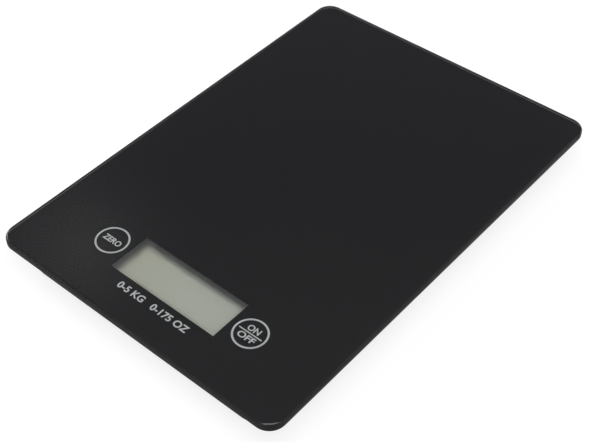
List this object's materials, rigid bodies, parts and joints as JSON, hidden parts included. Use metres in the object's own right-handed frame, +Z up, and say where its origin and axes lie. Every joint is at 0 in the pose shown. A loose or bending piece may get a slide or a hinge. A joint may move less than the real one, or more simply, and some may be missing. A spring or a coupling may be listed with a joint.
{
  "type": "kitchen scale",
  "caption": "Slim rectangular kitchen scale: black glass weighing platform over a shallow case, sunk display, touch keys, sensing feet and a hinged battery cover.",
  "frame": {"origin": "on the table, under the middle of the glass platform", "axes": "+X from left to right along the display, +Y from the front edge to the back, +Z up"},
  "size_m": [0.16, 0.23, 0.018],
  "materials": {
    "platform_glass": "polished",
    "black_print": "gloss",
    "tape_foam": "matte",
    "case_plastic": "matte",
    "bezel_plastic": "matte",
    "display_glass": "polished",
    "display_film": "satin",
    "display_reflector": "satin",
    "zebra_rubber": "matte",
    "board_laminate": "satin",
    "chip_resin": "gloss",
    "component_ceramic": "satin",
    "plug_nylon": "satin",
    "spring_wire": "satin",
    "contact_nickel": "polished",
    "coin_steel": "polished",
    "screw_steel": "satin",
    "cell_steel": "satin",
    "gauge_coat": "satin",
    "lead_grey": "satin",
    "lead_red": "satin",
    "lead_black": "satin",
    "foot_rubber": "matte",
    "cover_foam": "matte"
  },
  "bodies": {
    "case": {"glass_platform": "platform_glass", "printed_backing": "black_print", "bonding_tape": "tape_foam", "carrier_frame": "case_plastic", "base_tray": "case_plastic", "lcd_bezel": "bezel_plastic", "lcd_front_glass": "display_glass", "lcd_rear_glass": "display_glass", "lcd_polariser": "display_film", "lcd_reflector": "display_reflector", "zebra_strip": "zebra_rubber", "main_board": "board_laminate", "potted_chip": "chip_resin", "board_components": "component_ceramic", "lead_plugs": "plug_nylon", "touch_spring_left": "spring_wire", "touch_spring_right": "spring_wire", "battery_positive_contact": "contact_nickel", "battery_negative_contact": "contact_nickel", "coin_cell": "coin_steel", "case_screws": "screw_steel", "board_screws": "screw_steel", "load_cell_front_left": "cell_steel", "load_cell_front_right": "cell_steel", "load_cell_rear_left": "cell_steel", "load_cell_rear_right": "cell_steel", "strain_gauge_front_left": "gauge_coat", "strain_gauge_front_right": "gauge_coat", "strain_gauge_rear_left": "gauge_coat", "strain_gauge_rear_right": "gauge_coat", "sensor_lead_front_left": "lead_grey", "sensor_lead_front_right": "lead_grey", "sensor_lead_rear_left": "lead_grey", "sensor_lead_rear_right": "lead_grey", "battery_lead_positive": "lead_red", "battery_lead_negative": "lead_black"},
    "battery_door": {"battery_cover": "case_plastic", "cover_pad": "cover_foam"},
    "foot_front_left": {"foot_front_left": "case_plastic", "foot_pad_front_left": "foot_rubber", "foot_screw_front_left": "screw_steel"},
    "foot_front_right": {"foot_front_right": "case_plastic", "foot_pad_front_right": "foot_rubber", "foot_screw_front_right": "screw_steel"},
    "foot_rear_left": {"foot_rear_left": "case_plastic", "foot_pad_rear_left": "foot_rubber", "foot_screw_rear_left": "screw_steel"},
    "foot_rear_right": {"foot_rear_right": "case_plastic", "foot_pad_rear_right": "foot_rubber", "foot_screw_rear_right": "screw_steel"}
  },
  "joints": [
    {"name": "foot_front_left_press", "type": "slide", "parent": "case", "child": "foot_front_left", "axis": [0, 0, 1], "range_m": [0, 0.0004], "deforming": ["load_cell_front_left"]},
    {"name": "foot_front_right_press", "type": "slide", "parent": "case", "child": "foot_front_right", "axis": [0, 0, 1], "range_m": [0, 0.0004], "deforming": ["load_cell_front_right"]},
    {"name": "foot_rear_left_press", "type": "slide", "parent": "case", "child": "foot_rear_left", "axis": [0, 0, 1], "range_m": [0, 0.0004], "deforming": ["load_cell_rear_left"]},
    {"name": "foot_rear_right_press", "type": "slide", "parent": "case", "child": "foot_rear_right", "axis": [0, 0, 1], "range_m": [0, 0.0004], "deforming": ["load_cell_rear_right"]},
    {"name": "battery_cover_hinge", "type": "hinge", "parent": "case", "child": "battery_door", "pos_m": [0, -0.0143, 0.0034], "axis": [1, 0, 0], "range_deg": [0, 90]}
  ]
}
